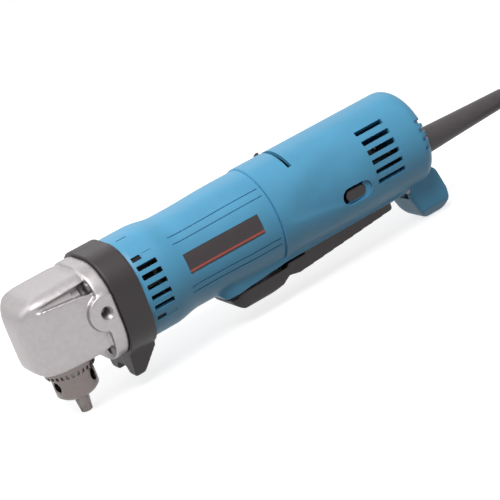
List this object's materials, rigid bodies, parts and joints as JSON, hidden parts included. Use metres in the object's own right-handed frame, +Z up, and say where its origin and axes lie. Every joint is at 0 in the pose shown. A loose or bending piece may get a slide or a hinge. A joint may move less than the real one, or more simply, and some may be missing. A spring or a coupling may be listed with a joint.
{
  "type": "right angle drill",
  "caption": "Corded right angle drill with a bevel gear head, keyed three jaw chuck, blue motor housing, paddle switch lever and a coiled mains lead with plug.",
  "frame": {"origin": "on the spindle axis at the closed jaws' tips, which stand on the floor", "axes": "+X runs along the motor body to the rear, +Z is up along the spindle away from the bit, +Y is the side away from the badge"},
  "size_m": [0.4746, 0.0958, 0.0816],
  "materials": {
    "blue_plastic": "satin moulded plastic",
    "black_plastic": "fine grained moulded plastic",
    "cast_aluminium": "tumbled casting",
    "bright_steel": "ground",
    "dark_steel": "blackened",
    "laminations": "stacked sheet",
    "copper_wire": "enamelled wire",
    "brass": "plain",
    "bronze": "sintered",
    "carbon": "pressed carbon",
    "black_rubber": "matt",
    "badge_film": "printed film, dark with a thin red stripe",
    "suppressor_film": "film box"
  },
  "bodies": {
    "housing": {"gear_housing": "cast_aluminium", "collar": "black_plastic", "motor_housing": "blue_plastic", "rear_cover_left": "blue_plastic", "rear_cover_right": "blue_plastic", "badge_plate": "badge_film", "flange_screws": "dark_steel", "cover_screws": "dark_steel", "bearing_outer_races": "bright_steel", "bearing_balls": "bright_steel", "spindle_top_bush": "bronze", "countershaft_bush": "bronze", "retaining_ring": "dark_steel", "spindle_seal": "black_rubber", "stator_core": "laminations", "field_coil_upper": "copper_wire", "field_coil_lower": "copper_wire", "brush_carrier": "black_plastic", "brush_holders": "brass", "carbon_brushes": "carbon", "brush_springs": "bright_steel", "switch_body": "black_plastic", "suppressor": "suppressor_film", "cord_clamp": "black_plastic", "cord_clamp_screws": "bright_steel", "cord_guard": "black_rubber", "cord_lead": "black_rubber", "cord_coil": "black_rubber", "cord_tie": "black_plastic", "plug_body": "black_rubber", "plug_pins": "brass", "lever_pin": "bright_steel", "lever_spring": "bright_steel"},
    "armature": {"armature_shaft": "bright_steel", "motor_pinion": "bright_steel", "armature_core": "laminations", "armature_windings": "copper_wire", "commutator": "copper_wire", "cooling_fan": "black_plastic", "armature_bearing_inners": "bright_steel"},
    "countershaft": {"countershaft": "bright_steel", "countershaft_gear": "bright_steel", "bevel_pinion": "bright_steel", "countershaft_bearing_inner": "bright_steel"},
    "spindle": {"spindle": "bright_steel", "bevel_gear": "bright_steel", "spindle_bearing_inner": "bright_steel", "chuck_body": "bright_steel"},
    "sleeve": {"chuck_sleeve": "bright_steel", "chuck_nut": "dark_steel"},
    "jaw_1": {"chuck_jaw_1": "dark_steel"},
    "jaw_2": {"chuck_jaw_2": "dark_steel"},
    "jaw_3": {"chuck_jaw_3": "dark_steel"},
    "lever": {"switch_lever": "black_plastic", "switch_plunger": "black_plastic"},
    "lock_button": {"lock_button": "black_plastic"},
    "reverse_lever": {"reverse_lever": "black_plastic"}
  },
  "joints": [
    {"name": "armature_spin", "type": "hinge", "parent": "housing", "child": "armature", "pos_m": [0.09, 0, 0.051], "axis": [1, 0, 0], "continuous": true},
    {"name": "countershaft_spin", "type": "hinge", "parent": "housing", "child": "countershaft", "pos_m": [0.0225, 0, 0.0645], "axis": [1, 0, 0], "continuous": true},
    {"name": "spindle_spin", "type": "hinge", "parent": "housing", "child": "spindle", "pos_m": [0, 0, 0.0485], "axis": [0, 0, 1], "continuous": true},
    {"name": "sleeve_turn", "type": "hinge", "parent": "spindle", "child": "sleeve", "pos_m": [0, 0, 0.029], "axis": [0, 0, 1], "range_deg": [0, 2700]},
    {"name": "jaw_1_slide", "type": "slide", "parent": "spindle", "child": "jaw_1", "axis": [0.2532, 0.0538, 0.9659], "range_m": [0, 0.0135]},
    {"name": "jaw_2_slide", "type": "slide", "parent": "spindle", "child": "jaw_2", "axis": [-0.1732, 0.1923, 0.9659], "range_m": [0, 0.0135]},
    {"name": "jaw_3_slide", "type": "slide", "parent": "spindle", "child": "jaw_3", "axis": [-0.08, -0.2462, 0.9659], "range_m": [0, 0.0135]},
    {"name": "lever_press", "type": "hinge", "parent": "housing", "child": "lever", "pos_m": [0.229, 0, 0.0235], "axis": [0, 1, 0], "range_deg": [0, 2], "stiffness_Nm_per_rad": 2, "springref_deg": -8.59, "deforming": ["lever_spring"]},
    {"name": "lock_press", "type": "slide", "parent": "housing", "child": "lock_button", "axis": [0, 1, 0], "range_m": [0, 0.003], "stiffness_N_per_m": 300, "springref_m": -0.002},
    {"name": "reverse_throw", "type": "hinge", "parent": "housing", "child": "reverse_lever", "pos_m": [0.158, 0, 0.051], "axis": [1, 0, 0], "range_deg": [0, 66]}
  ],
  "couplings": [
    {"joint": "countershaft_spin", "follows": "armature_spin", "ratio": -0.28571},
    {"joint": "spindle_spin", "follows": "armature_spin", "ratio": -0.095238},
    {"joint": "jaw_1_slide", "follows": "sleeve_turn", "m_per_rad": 0.00028648},
    {"joint": "jaw_2_slide", "follows": "sleeve_turn", "m_per_rad": 0.00028648},
    {"joint": "jaw_3_slide", "follows": "sleeve_turn", "m_per_rad": 0.00028648}
  ]
}
